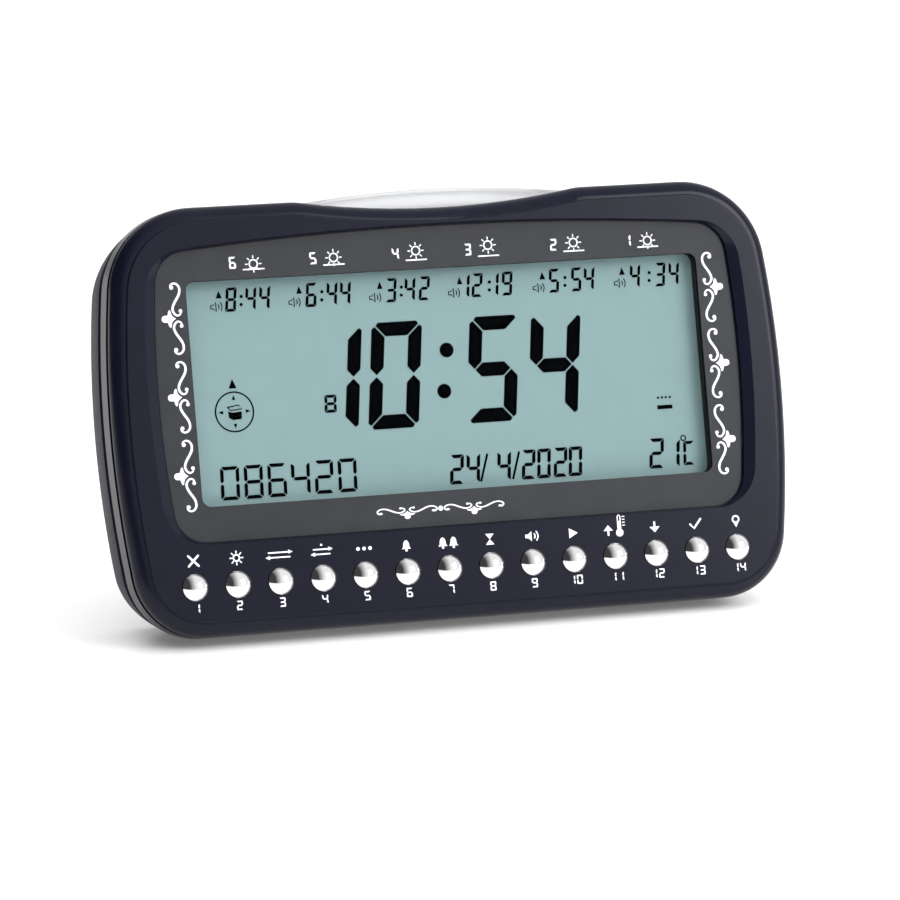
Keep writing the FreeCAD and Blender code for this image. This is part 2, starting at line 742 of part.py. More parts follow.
# each cell's stud bears on its plate, and its flat end on a spring
CELLS = {}
CELL_START = {"cell_lower": -26.0 - D["cell_length"], "cell_upper": -80.5}
for name, zc, flip in (("cell_lower", D["cell_level_low"], 1), ("cell_upper", D["cell_level_high"], -1)):
    cyl = doc.addObject("Part::Cylinder", name + "_can")
    cyl.Radius = D["cell_radius"]
    cyl.Height = D["cell_length"] - 1.2
    cyl.setExpression("Radius", "dims.cell_radius")
    cyl.setExpression("Height", "dims.cell_length - 1.2")
    x0 = CELL_START[name] + (0 if flip > 0 else 1.2)
    cyl.Placement = Placement(Vector(x0, D["cell_depth"], zc), Rotation(Vector(0, 1, 0), 90))
    nub = doc.addObject("Part::Cylinder", name + "_nub")
    nub.Radius, nub.Height = 2.6, 1.2
    xn = x0 + D["cell_length"] - 1.2 if flip > 0 else x0 - 1.2
    nub.Placement = Placement(Vector(xn, D["cell_depth"], zc), Rotation(Vector(0, 1, 0), 90))
    fuse = doc.addObject("Part::Fuse", name)
    fuse.Base, fuse.Tool = cyl, nub
    CELLS[name] = fuse

plates = []
for k, (x0, zc) in enumerate(
    ((-80.9, D["cell_level_low"]), (-80.9, D["cell_level_high"]), (-26.0, D["cell_level_low"]), (-26.0, D["cell_level_high"]))
):
    p = doc.addObject("Part::Box", "contact_plate_%d" % (k + 1))
    p.Length, p.Width, p.Height = 0.4, 9.0, 9.0
    p.Placement = Placement(Vector(x0, D["cell_depth"] - 4.5, zc - 4.5), Rotation())
    plates.append(p)
contacts = doc.addObject("Part::Compound", "battery_contacts")
contacts.Links = plates


def coil(x0, x1, y, z, r0, r1, turns, wire):
    """Conical spring of round wire along x."""
    length = x1 - x0 - 2 * wire
    pts = []
    n = int(turns * 16)
    for k in range(n + 1):
        t = k / float(n)
        a = 2 * math.pi * turns * t
        r = r0 + (r1 - r0) * t
        pts.append(Vector(x0 + wire + length * t, y + r * math.cos(a), z + r * math.sin(a)))
    bs = Part.BSplineCurve()
    bs.interpolate(pts)
    path = Part.Wire([bs.toShape()])
    d = bs.tangent(bs.FirstParameter)[0]
    prof = Part.Wire([Part.Circle(pts[0], d, wire).toShape()])
    return path.makePipeShell([prof], True, True)


springs = doc.addObject("Part::Feature", "battery_springs")
springs.Shape = Part.makeCompound(
    [
        coil(-80.5, CELL_START["cell_lower"], D["cell_depth"], D["cell_level_low"], 3.8, 2.2, 4.0, 0.3),
        coil(CELL_START["cell_upper"] + D["cell_length"], -26.0, D["cell_depth"], D["cell_level_high"], 2.2, 3.8, 4.0, 0.3),
    ]
)

# ---------------------------------------------------------------------------
# speaker
# ---------------------------------------------------------------------------

sx, sz, sr = D["speaker_middle"], D["speaker_level"], D["speaker_radius"]
basket = Piece("speaker_basket")
basket.revolve(poly([(sr, 32.1), (sr, 31.0), (17.2, 31.0), (10.5, 24.6), (10.5, 23.4), (4.6, 23.4), (4.6, 24.4), (9.4, 24.4), (9.4, 25.0), (16.6, 32.1)]), sx, sz)
basket.pad([rrect(sx - 21.4, sx - 18.5, sz - 5.0, sz + 5.0)], 29.2, 31.0)
magnet = Piece("speaker_magnet")
magnet.revolve(poly([(0, 23.4), (9.0, 23.4), (9.0, 18.4), (0, 18.4)]), sx, sz)
magnet.revolve(poly([(0, 23.4), (3.4, 23.4), (3.4, 26.0), (0, 26.0)]), sx, sz)
cone = Piece("speaker_cone")
cone.revolve(
    poly([(0, 28.9), (4.6, 28.9), (15.2, 31.2), (16.0, 31.6), (16.0, 32.0), (15.0, 31.7), (4.4, 29.3), (4.2, 29.3), (0, 29.3)]), sx, sz
)
cone.revolve(poly([(3.8, 29.0), (4.3, 29.0), (4.3, 25.0), (3.8, 25.0)]), sx, sz)
retainer = Piece("speaker_retainer")
retainer.pad([circle(sx, sz, 21.0), circle(sx, sz, 17.9)], 29.9, 30.9)
for dz in (-1, 1):
    retainer.pad([rrect(sx - 3.0, sx + 3.0, min(sz + dz * 19.0, sz + dz * 27.0), max(sz + dz * 19.0, sz + dz * 27.0), 0.5)], 29.9, 30.75)
retainer.pocket([rrect(sx - 22.0, sx - 17.0, sz - 5.3, sz + 10.2)], 29.0, 30.95)
retainer.pocket([circle(sx, sz + dz, 1.1) for dz in (-24.0, 24.0)], 29.0, 32.0)


def screw(x, z, y_head, y_tip, r_head, r_body, head=1.6):
    """Pan head screw along y, head towards larger y when y_head > y_tip."""
    s = 1.0 if y_head > y_tip else -1.0
    shank = Part.makeCylinder(r_body, abs(y_head - y_tip), Vector(x, min(y_head, y_tip), z), Vector(0, 1, 0))
    top = Part.makeCylinder(r_head, head, Vector(x, y_head, z), Vector(0, s, 0))
    edge = [e for e in top.Edges if abs(e.BoundBox.YMin - (y_head + s * head)) < 1e-4 and abs(e.BoundBox.YMax - (y_head + s * head)) < 1e-4]
    top = top.makeFillet(0.45, edge)
    sh = shank.fuse(top)
    for a in (0, 90):
        slot = Part.makeBox(r_head * 1.25, 0.8, 0.5, Vector(-r_head * 0.625, 0, -0.25))
        slot.rotate(Vector(0, 0, 0), Vector(0, 1, 0), a)
        slot.translate(Vector(x, (y_head + head - 0.7) if s > 0 else (y_head - head - 0.1), z))
        sh = sh.cut(slot)
    return sh


speaker_screws = doc.addObject("Part::Feature", "speaker_screws")
speaker_screws.Shape = Part.makeCompound([screw(sx, sz + dz, y0, 32.0, 1.9, 0.8, 1.2) for dz, y0 in ((-24.0, 29.9), (24.0, 29.9))])
case_screws = doc.addObject("Part::Feature", "case_screws")
case_screws.Shape = Part.makeCompound(
    [screw(s * p[0], p[1], 17.3, 7.6, 2.4, 1.0) for s in (-1, 1) for p in (POST_LOW, POST_TOP)]
)
board_screws = doc.addObject("Part::Feature", "board_screws")
board_screws.Shape = Part.makeCompound(
    [screw(s * 84.2, zz, BB, 7.4, 2.0, 0.8, 1.3) for s in (-1, 1) for zz in (32.0, 88.0)]
)

# ---------------------------------------------------------------------------
# leads, held between the covers
# ---------------------------------------------------------------------------


def lead(points, r):
    """Round wire along straight runs joined by tangent arcs."""
    edges = []
    pts = [Vector(*p) for p in points]
    start = pts[0]
    for k in range(1, len(pts) - 1):
        a, b, c = pts[k - 1], pts[k], pts[k + 1]
        u = (a - b).normalize()
        v = (c - b).normalize()
        turn = math.pi - u.getAngle(v)
        short = min((a - b).Length, (c - b).Length)
        R = 0.45 * short / math.tan(turn / 2)
        t = 0.45 * short
        p, q = b + u * t, b + v * t
        m = (u + v).normalize()
        mid = b + m * (R / math.cos(turn / 2) - R)
        if (p - start).Length > 1e-6:
            edges.append(Part.LineSegment(start, p).toShape())
        edges.append(Part.Arc(p, mid, q).toShape())
        start = q
        print("lead radius %.2f" % R)
    edges.append(Part.LineSegment(start, pts[-1]).toShape())
    path = Part.Wire(edges)
    d = (pts[1] - pts[0]).normalize()
    prof = Part.Wire([Part.Circle(pts[0], d, r).toShape()])
    s = path.makePipeShell([prof], True, False)
    print("lead volume %.1f against %.1f" % (s.Volume, math.pi * r * r * path.Length))
    return s


battery_wires = doc.addObject("Part::Feature", "battery_wires")
battery_wires.Shape = Part.makeCompound(
    [lead([(x, 21.5, 62.5), (x, 21.5, 71.5), (x + 5.0, 17.5, 76.0), (x + 5.0, BB, 76.0)], 0.6) for x in (-44.0, -40.5)]
)
speaker_wires = doc.addObject("Part::Feature", "speaker_wires")
speaker_wires.Shape = Part.makeCompound(
    [lead([(x, 30.1, sz + 5.0), (x, 30.1, 68.0), (x, 22.0, 75.0), (x, BB, 75.0)], 0.6) for x in (31.1, 32.9)]
)

# ---------------------------------------------------------------------------
# foot pads
# ---------------------------------------------------------------------------

feet = doc.addObject("Part::Feature", "rubber_feet")
feet.Shape = Part.makeCompound([seat_box(-62.0), seat_box(62.0)])

doc.recompute()

# ---------------------------------------------------------------------------
# the rear cover loses its bores and seats; deployed leg angle; placements
# ---------------------------------------------------------------------------

rear_cut_tool = doc.addObject("Part::Feature", "rear_bores_and_seats")
rear_cut_tool.Shape = rear_tools
rear_done = doc.addObject("Part::Cut", "rear_cover_piece")
rear_done.Base, rear_done.Tool = rear.body, rear_cut_tool
doc.recompute()


def height_of(y, z):
    """Height above the leaning frame's level plane."""
    return -y * math.sin(TH) + z * math.cos(TH)


def pad_height(phi):
    dy = 1.4 * math.cos(phi) + D["leg_reach"] * math.sin(phi)
    dz = 1.4 * math.sin(phi) - D["leg_reach"] * math.cos(phi)
    return height_of(PD + dy, PL + dz) - D["leg_pad_radius"] - D["table_level"]


lo, hi = 0.05, 1.2
for _ in range(60):
    m = 0.5 * (lo + hi)
    if pad_height(m) < 0:
        lo = m
    else:
        hi = m
LEG_OPEN = math.degrees(lo)
print("leg opens %.4f degrees" % LEG_OPEN)

MOVING = {"stand_leg_piece", "stand_foot_pad"}
sheet_shift = {"y": 0.0, "z": 0.0}


def lean():
    return Placement(Vector(0, 0, 0), Rotation(Vector(1, 0, 0), -D["lean_angle"]))


def open_leg():
    r = Rotation(Vector(1, 0, 0), LEG_OPEN)
    c = Vector(0, PD, PL)
    return Placement(c - r.multVec(c), r)


NODES = [(p.label, p.body) for p in PIECES if p.label not in ("rear_cover", "stand_leg")]
NODES += [
    ("rear_cover", rear_done),
    ("stand_leg", leg_final),
    ("stand_foot_pad", leg_pad),
    ("stand_hinge_pin", hinge_pin),
    ("cell_lower", CELLS["cell_lower"]),
    ("cell_upper", CELLS["cell_upper"]),
    ("battery_contacts", contacts),
    ("battery_springs", springs),
    ("speaker_screws", speaker_screws),
    ("case_screws", case_screws),
    ("board_screws", board_screws),
    ("battery_wires", battery_wires),
    ("speaker_wires", speaker_wires),
    ("rubber_feet", feet),
]

# the outer box of the leaning clock gives where the origin goes
boxes = []
for name, obj in NODES:
    s = obj.Shape.copy()
    pl = lean()
    if name in ("stand_leg", "stand_foot_pad"):
        pl = pl.multiply(open_leg())
    s.Placement = pl.multiply(s.Placement)
    boxes.append((name, s))
box = Part.makeCompound([s for _, s in boxes])
box.tessellate(0.05)
bb = box.optimalBoundingBox(False)
shift = Vector(0.0, -0.5 * (bb.YMin + bb.YMax), -bb.ZMin)
print("box x %.3f %.3f  y %.3f %.3f  z %.3f %.3f" % (bb.XMin, bb.XMax, bb.YMin, bb.YMax, bb.ZMin, bb.ZMax))
print("shift_back %.4f lift_up %.4f" % (shift.y, shift.z))
rowy = [k for k in range(1, len(D) + 1) if sheet.get("A%d" % k) == "shift_back"][0]
rowz = [k for k in range(1, len(D) + 1) if sheet.get("A%d" % k) == "lift_up"][0]
sheet.set("B%d" % rowy, repr(shift.y))
sheet.set("B%d" % rowz, repr(shift.z))

for name, obj in NODES:
    obj.Label = name if obj.Label != name else obj.Label
    pl = Placement(shift, Rotation()).multiply(lean())
    if name in ("stand_leg", "stand_foot_pad"):
        pl = pl.multiply(open_leg())
    obj.Placement = pl.multiply(obj.Placement)

doc.recompute()

# ---------------------------------------------------------------------------
# nothing is written unless every object is sound
# ---------------------------------------------------------------------------

bad = []
for f in POCKETS:
    if not f.Shape.Volume < f.BaseFeature.Shape.Volume - 1e-4:
        bad.append(f.Name + " cut nothing")
for o in doc.Objects:
    if "Invalid" in o.State or "Error" in o.State:
        bad.append(o.Name + " " + ",".join(o.State))
for name, obj in NODES:
    s = obj.Shape
    if s.isNull() or not s.isValid() or not s.Solids:
        bad.append(name + " shape")
if bad:
    raise RuntimeError("not sound: " + "; ".join(bad))

os.makedirs("parts", exist_ok=True)
for name, obj in NODES:
    obj.Shape.exportStep("parts/%s.step" % name)
    s = obj.Shape
    b = s.BoundBox
    print(
        "%-20s solids %2d vol %9.1f  x %7.2f %7.2f  y %7.2f %7.2f  z %7.2f %7.2f"
        % (name, len(s.Solids), s.Volume, b.XMin, b.XMax, b.YMin, b.YMax, b.ZMin, b.ZMax)
    )
print("%d pieces" % len(NODES))
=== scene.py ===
import math

import bpy
from mathutils import Matrix, Vector
from mathutils.geometry import delaunay_2d_cdt


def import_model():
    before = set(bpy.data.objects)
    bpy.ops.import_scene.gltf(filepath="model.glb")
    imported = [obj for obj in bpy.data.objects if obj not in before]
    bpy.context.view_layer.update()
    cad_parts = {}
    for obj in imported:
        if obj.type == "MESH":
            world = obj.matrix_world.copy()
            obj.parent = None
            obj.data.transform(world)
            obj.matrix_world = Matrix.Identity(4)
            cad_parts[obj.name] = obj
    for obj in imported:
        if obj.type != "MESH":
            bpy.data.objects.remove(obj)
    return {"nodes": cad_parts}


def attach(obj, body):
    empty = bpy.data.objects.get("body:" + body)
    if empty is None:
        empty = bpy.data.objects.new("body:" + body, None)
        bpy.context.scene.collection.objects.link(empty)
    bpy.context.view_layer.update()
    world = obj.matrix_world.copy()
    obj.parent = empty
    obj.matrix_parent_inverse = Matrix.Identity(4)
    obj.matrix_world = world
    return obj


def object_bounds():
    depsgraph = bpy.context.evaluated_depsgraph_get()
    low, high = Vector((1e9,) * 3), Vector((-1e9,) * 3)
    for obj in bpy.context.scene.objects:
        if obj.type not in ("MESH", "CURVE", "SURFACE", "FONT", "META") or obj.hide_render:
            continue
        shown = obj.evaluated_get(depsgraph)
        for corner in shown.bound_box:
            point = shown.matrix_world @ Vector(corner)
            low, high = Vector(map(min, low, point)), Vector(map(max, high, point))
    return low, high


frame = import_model()
[list(v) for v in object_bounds()] if isinstance(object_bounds(), (tuple, list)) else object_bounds()
NODES = frame["nodes"]
SCENE = bpy.context.scene

# ---------------------------------------------------------------- placement
LEAN = math.radians(14.0)


def world(x, y, z):
    """Clock millimetres (x right, y back from the face, z up the face) to the row frame in metres."""
    return Vector((
        x,
        y * math.cos(LEAN) + z * math.sin(LEAN) - 31.0964,
        -y * math.sin(LEAN) + z * math.cos(LEAN) + 3.9,
    )) * 0.001


# ---------------------------------------------------------------- camera
PSI, EPS, DIST, TX, TY = 0.3420845333908886, 0.1933681900628712, 1583.531831, -6.031915, 31.613075
BACK = Vector((-math.sin(PSI) * math.cos(EPS), -math.cos(PSI) * math.cos(EPS), math.sin(EPS)))
XA = Vector((0, 0, 1)).cross(BACK).normalized()
YA = BACK.cross(XA).normalized()
O_WORLD = Vector((0.35, -27.806, 17.096))
EYE = TX * XA + TY * YA + DIST * BACK
camera = bpy.data.objects.new("camera", bpy.data.cameras.new("camera"))
SCENE.collection.objects.link(camera)
rot = Matrix((XA, YA, BACK)).transposed().to_4x4()
camera.matrix_world = Matrix.Translation((O_WORLD + EYE) * 0.001) @ rot
camera.data.lens = 233.97
camera.data.sensor_width = 36.0
camera.data.clip_start = 0.01
camera.data.clip_end = 50.0
SCENE.camera = camera
CU = EYE.x
CV = EYE.y * math.sin(LEAN) + EYE.z * math.cos(LEAN)
CN = -EYE.y * math.cos(LEAN) + EYE.z * math.sin(LEAN)


def seen(u, v, s):
    """A point measured on the face plane, carried back to depth s along the line of sight."""
    return u + (u - CU) * s / CN + 0.35, v + (v - CV) * s / CN + 13.6


# ---------------------------------------------------------------- materials
def principled(name, base, rough, metal=0.0, spec=0.5, coat=0.0, alpha=1.0, trans=0.0):
    m = bpy.data.materials.new(name)
    m.use_nodes = True
    nt = m.node_tree
    b = nt.nodes["Principled BSDF"]
    b.inputs["Base Color"].default_value = (*base, 1)
    b.inputs["Roughness"].default_value = rough
    b.inputs["Metallic"].default_value = metal
    b.inputs["Specular IOR Level"].default_value = spec
    b.inputs["Coat Weight"].default_value = coat
    b.inputs["Alpha"].default_value = alpha
    b.inputs["Transmission Weight"].default_value = trans
    return m, nt, b


def grain(nt, b, scale, strength, distance, rough=None, stretch=(1, 1, 1), shade=None, detail=6.0):
    """Fine surface texture: a bump, a changing roughness and a slight change of shade."""
    tc = nt.nodes.new("ShaderNodeTexCoord")
    mp = nt.nodes.new("ShaderNodeMapping")
    mp.inputs["Scale"].default_value = stretch
    nz = nt.nodes.new("ShaderNodeTexNoise")
    nz.inputs["Scale"].default_value = scale
    nz.inputs["Detail"].default_value = detail
    nt.links.new(tc.outputs["Object"], mp.inputs["Vector"])
    nt.links.new(mp.outputs["Vector"], nz.inputs["Vector"])
    if strength:
        bp = nt.nodes.new("ShaderNodeBump")
        bp.inputs["Strength"].default_value = strength
        bp.inputs["Distance"].default_value = distance
        nt.links.new(nz.outputs["Fac"], bp.inputs["Height"])
        nt.links.new(bp.outputs["Normal"], b.inputs["Normal"])
    if rough:
        mr = nt.nodes.new("ShaderNodeMapRange")
        mr.inputs["From Min"].default_value = 0.3
        mr.inputs["From Max"].default_value = 0.7
        mr.inputs["To Min"].default_value = rough[0]
        mr.inputs["To Max"].default_value = rough[1]
        nt.links.new(nz.outputs["Fac"], mr.inputs["Value"])
        nt.links.new(mr.outputs["Result"], b.inputs["Roughness"])
    if shade:
        n2 = nt.nodes.new("ShaderNodeTexNoise")
        n2.inputs["Scale"].default_value = scale * 0.06
        n2.inputs["Detail"].default_value = 4.0
        nt.links.new(mp.outputs["Vector"], n2.inputs["Vector"])
        cr = nt.nodes.new("ShaderNodeValToRGB")
        cr.color_ramp.elements[0].position = 0.3
        cr.color_ramp.elements[1].position = 0.7
        cr.color_ramp.elements[0].color = (*shade[0], 1)
        cr.color_ramp.elements[1].color = (*shade[1], 1)
        nt.links.new(n2.outputs["Fac"], cr.inputs["Fac"])
        nt.links.new(cr.outputs["Color"], b.inputs["Base Color"])
    return nz


def mat(name, base, rough, scale=900, strength=0.05, distance=0.00005, spread=0.06, vary=0.12, stretch=(1, 1, 1), **kw):
    m, nt, b = principled(name, base, rough, **kw)
    lo = tuple(c * (1 - vary) for c in base)
    hi = tuple(min(1.0, c * (1 + vary)) for c in base)
    grain(nt, b, scale, strength, distance, (max(0.02, rough - spread), min(1, rough + spread)), stretch, (lo, hi))
    return m


M = {}
M["casing"] = mat("casing_plastic", (0.0052, 0.0056, 0.0150), 0.21, 2600, 0.03, 0.00002, spread=0.03, spec=0.2)
M["rear"] = mat("rear_plastic", (0.0075, 0.0080, 0.0190), 0.44, 1700, 0.22, 0.00006, spec=0.08)
M["print_dark"] = mat("lens_back_print", (0.026, 0.027, 0.032), 0.42, 1800, 0.03, 0.00002, spec=0.25)
M["frame"] = mat("frame_black", (0.004, 0.004, 0.005), 0.55, 1500, 0.2, 0.00005, spec=0.3)
M["lcd"] = mat("lcd_panel", (0.206, 0.309, 0.316), 0.50, 2400, 0.02, 0.00002, vary=0.02, spec=0.25)
M["ink"] = mat("lcd_segment", (0.0008, 0.0010, 0.0015), 0.9, 2000, 0.02, 0.00001, spec=0.0)
# white print colour; this material is also given a painted glow further down
M["white"] = mat("white_print_painted_glow", (0.83, 0.83, 0.90), 0.5, 3000, 0.06, 0.00001, vary=0.03, spec=0.3)
M["diffuser"] = mat("diffuser_white", (0.75, 0.75, 0.72), 0.5, 800)
M["silicone"] = mat("silicone_grey", (0.24, 0.25, 0.27), 0.65, 1400, 0.2)
M["chrome"] = mat("button_chrome", (0.93, 0.93, 0.94), 0.075, 1500, 0.015, 0.00002, spread=0.02, vary=0.02, metal=1.0)
M["rubber"] = mat("rubber_black", (0.018, 0.018, 0.019), 0.8, 2200, 0.5, 0.0001, spec=0.3)
M["steel"] = mat("plated_steel", (0.62, 0.62, 0.63), 0.28, 1400, 0.08, 0.00003, metal=1.0, stretch=(1, 1, 6))
M["black"] = mat("component_black", (0.013, 0.013, 0.014), 0.5, 1600, 0.3)
M["cone"] = mat("cone_paper", (0.045, 0.042, 0.040), 0.85, 1100, 0.6, 0.00015)
M["bar"] = mat("bar_frost", (0.86, 0.87, 0.88), 0.34, 1500, 0.08, 0.00003, vary=0.02, trans=0.55)


def banded(name, colours, axis, period, rough, metal=0.0):
    """Wound or sleeved parts: bands of shade along one axis, over a fine grain."""
    m, nt, b = principled(name, colours[0], rough, metal=metal)
    grain(nt, b, 1600, 0.15, 0.00005, (rough - 0.06, rough + 0.06))
    tc = nt.nodes.new("ShaderNodeTexCoord")
    wv = nt.nodes.new("ShaderNodeTexWave")
    wv.bands_direction = axis
    wv.inputs["Scale"].default_value = period
    wv.inputs["Distortion"].default_value = 0.6
    cr = nt.nodes.new("ShaderNodeValToRGB")
    cr.color_ramp.elements[0].color = (*colours[0], 1)
    cr.color_ramp.elements[1].color = (*colours[1], 1)
    nt.links.new(tc.outputs["Object"], wv.inputs["Vector"])
    nt.links.new(wv.outputs["Fac"], cr.inputs["Fac"])
    nt.links.new(cr.outputs["Color"], b.inputs["Base Color"])
    return m


M["cell"] = banded("cell_wrap", ((0.03, 0.10, 0.16), (0.05, 0.15, 0.22)), "X", 9.0, 0.3)
M["wire"] = banded("wire_sheath", ((0.45, 0.02, 0.02), (0.35, 0.015, 0.015)), "Z", 60.0, 0.5)


def board_green():
    m, nt, b = principled("board_green", (0.01, 0.10, 0.04), 0.35)
    tc = nt.nodes.new("ShaderNodeTexCoord")
    br = nt.nodes.new("ShaderNodeTexBrick")
    br.inputs["Scale"].default_value = 160
    br.inputs["Mortar Size"].default_value = 0.03
    br.inputs["Color1"].default_value = (0.008, 0.085, 0.035, 1)
    br.inputs["Color2"].default_value = (0.010, 0.100, 0.045, 1)
    br.inputs["Mortar"].default_value = (0.03, 0.17, 0.07, 1)
    nt.links.new(tc.outputs["Object"], br.inputs["Vector"])
    nt.links.new(br.outputs["Color"], b.inputs["Base Color"])
    nz = nt.nodes.new("ShaderNodeTexNoise")
    nz.inputs["Scale"].default_value = 1500
    bp = nt.nodes.new("ShaderNodeBump")
    bp.inputs["Strength"].default_value = 0.1
    bp.inputs["Distance"].default_value = 0.00004
    nt.links.new(tc.outputs["Object"], nz.inputs["Vector"])
    nt.links.new(nz.outputs["Fac"], bp.inputs["Height"])
    nt.links.new(bp.outputs["Normal"], b.inputs["Normal"])
    return m


M["board"] = board_green()


def lens_clear():
    """Clear acrylic: lets what is behind it show and keeps a faint gloss."""
    m = bpy.data.materials.new("lens_window")
    m.use_nodes = True
    nt = m.node_tree
    nt.nodes.remove(nt.nodes["Principled BSDF"])
    out = nt.nodes["Material Output"]
    tr = nt.nodes.new("ShaderNodeBsdfTransparent")
    tr.inputs["Color"].default_value = (0.985, 0.99, 0.99, 1)
    gl = nt.nodes.new("ShaderNodeBsdfGlossy")
    gl.inputs["Roughness"].default_value = 0.06
    fr = nt.nodes.new("ShaderNodeFresnel")
    fr.inputs["IOR"].default_value = 1.10
    mx = nt.nodes.new("ShaderNodeMixShader")
    tc = nt.nodes.new("ShaderNodeTexCoord")
    nz = nt.nodes.new("ShaderNodeTexNoise")
    nz.inputs["Scale"].default_value = 900
    bp = nt.nodes.new("ShaderNodeBump")
    bp.inputs["Strength"].default_value = 0.01
    bp.inputs["Distance"].default_value = 0.00001
    nt.links.new(tc.outputs["Object"], nz.inputs["Vector"])
    nt.links.new(nz.outputs["Fac"], bp.inputs["Height"])
    nt.links.new(bp.outputs["Normal"], gl.inputs["Normal"])
    geo = nt.nodes.new("ShaderNodeNewGeometry")
    flip = nt.nodes.new("ShaderNodeMath")
    flip.operation = "SUBTRACT"
    flip.inputs[0].default_value = 1.0
    both = nt.nodes.new("ShaderNodeMath")
    both.operation = "MULTIPLY"
    nt.links.new(geo.outputs["Backfacing"], flip.inputs[1])
    nt.links.new(flip.outputs["Value"], both.inputs[0])
    nt.links.new(fr.outputs["Fac"], both.inputs[1])
    nt.links.new(both.outputs["Value"], mx.inputs["Fac"])
    nt.links.new(tr.outputs["BSDF"], mx.inputs[1])
    nt.links.new(gl.outputs["BSDF"], mx.inputs[2])
    nt.links.new(mx.outputs["Shader"], out.inputs["Surface"])
    return m


M["lens"] = lens_clear()
# painted glow: a faint emission on the white print material, so the lens ornament and button legends shine brighter
# than the lamps make them
print_painted_glow = M["white"].node_tree.nodes["Principled BSDF"]
print_painted_glow.inputs["Emission Color"].default_value = (0.9, 0.9, 0.97, 1)
print_painted_glow.inputs["Emission Strength"].default_value = 0.22

NODE_MATERIAL = {
    "front_casing": "casing", "rear_cover": "rear", "battery_door": "rear", "stand_leg": "rear",
    "display_lens": "lens", "lcd_frame": "frame", "speaker_retainer": "frame", "lcd_glass": "lcd",
    "backlight_panel": "diffuser", "zebra_strips": "silicone", "rubber_keypad": "silicone",
    "main_circuit_board": "board", "light_bar": "bar", "rubber_feet": "rubber", "stand_foot_pad": "rubber",
    "speaker_cone": "cone", "battery_cells": "cell", "battery_wires": "wire", "speaker_wires": "wire",
}
for name, node in NODES.items():
    key = NODE_MATERIAL.get(name)
    if key is None:
        if name.startswith("button_"):
            key = "chrome"
        elif any(w in name for w in ("chip", "switch", "capacitor", "sensor")):
            key = "black"
        elif "cone" in name:
            key = "cone"
        elif "cell" in name:
            key = "cell"
        elif "wire" in name:
            key = "wire"
        else:
            key = "steel"
    node.data.materials.clear()
    node.data.materials.append(M[key])


# ---------------------------------------------------------------- flat prints as thin raised layers
def layer(name, loops, y0, y1, material, holes=()):
    """Closed outlines in clock millimetres, filled and given a thickness from y0 (front) to y1."""
    verts, faces = [], []
    for loop in loops:
        pts = [Vector(p) for p in loop]
        area = sum(pts[i].x * pts[(i + 1) % len(pts)].y - pts[(i + 1) % len(pts)].x * pts[i].y for i in range(len(pts)))
        if area < 0:
            pts.reverse()
        n = len(pts)
        rings = [pts] + [[Vector(p) for p in h] for h in holes]
        allp = [p for r in rings for p in r]
        edges, at = [], 0
        for r in rings:
            edges += [(at + i, at + (i + 1) % len(r)) for i in range(len(r))]
            at += len(r)
        cv, _, cf, ov, _, _ = delaunay_2d_cdt(allp, edges, [], 0 if holes else 1, 1e-7)
        keep = []
        for f in cf:
            c = sum((Vector(cv[i]) for i in f), Vector((0, 0))) / len(f)
            if inside(c, pts) and not any(inside(c, h) for h in rings[1:]):
                keep.append(f)
        base = len(verts)
        m = len(cv)
        verts += [world(p[0], y0, p[1]) for p in cv] + [world(p[0], y1, p[1]) for p in cv]
        count = {}
        for f in keep:
            faces.append([base + i for i in f])
            faces.append([base + m + i for i in reversed(f)])
            for i in range(len(f)):
                a, b2 = f[i], f[(i + 1) % len(f)]
                count[(a, b2)] = count.get((a, b2), 0) + 1
        for a, b2 in count:
            if (b2, a) not in count:
                faces.append([base + b2, base + a, base + m + a, base + m + b2])
    me = bpy.data.meshes.new(name)
    me.from_pydata(verts, [], faces)
    me.validate()
    import bmesh
    bm = bmesh.new()
    bm.from_mesh(me)
    loose = [v for v in bm.verts if not v.link_faces]
    bmesh.ops.delete(bm, geom=loose, context="VERTS")
    bmesh.ops.recalc_face_normals(bm, faces=bm.faces)
    bm.to_mesh(me)
    bm.free()
    o = bpy.data.objects.new(name, me)
    SCENE.collection.objects.link(o)
    me.materials.append(M[material])
    return o


def inside(p, poly):
    hit = False
    n = len(poly)
    for i in range(n):
        a, b = poly[i], poly[(i + 1) % n]
        if (a[1] > p[1]) != (b[1] > p[1]) and p[0] < (b[0] - a[0]) * (p[1] - a[1]) / (b[1] - a[1]) + a[0]:
            hit = not hit
    return hit


def disc(x, z, r, n=28):
    return [(x + r * math.cos(2 * math.pi * k / n), z + r * math.sin(2 * math.pi * k / n)) for k in range(n)]


def ring(x, z, r, w, a0=0.0, a1=360.0, n=40):
    full = abs(a1 - a0) >= 359.9
    out = []
    step = (a1 - a0) / n
    for k in range(n):
        p, q = math.radians(a0 + k * step), math.radians(a0 + (k + 1) * step)
        out.append([(x + (r - w / 2) * math.cos(p), z + (r - w / 2) * math.sin(p)),
                    (x + (r + w / 2) * math.cos(p), z + (r + w / 2) * math.sin(p)),
                    (x + (r + w / 2) * math.cos(q), z + (r + w / 2) * math.sin(q)),
                    (x + (r - w / 2) * math.cos(q), z + (r - w / 2) * math.sin(q))])
    return out


def smooth(points, per=6):
    """Points on a soft curve through the given ones."""
    out = []
    n = len(points)
    for i in range(n - 1):
        p0 = points[max(i - 1, 0)]
        p1, p2 = points[i], points[i + 1]
        p3 = points[min(i + 2, n - 1)]
        for k in range(per):
            t = k / per
            out.append(tuple(0.5 * ((2 * p1[j]) + (-p0[j] + p2[j]) * t + (2 * p0[j] - 5 * p1[j] + 4 * p2[j] - p3[j]) * t * t
                                    + (-p0[j] + 3 * p1[j] - 3 * p2[j] + p3[j]) * t ** 3) for j in range(2)))
    out.append(points[-1])
    return out


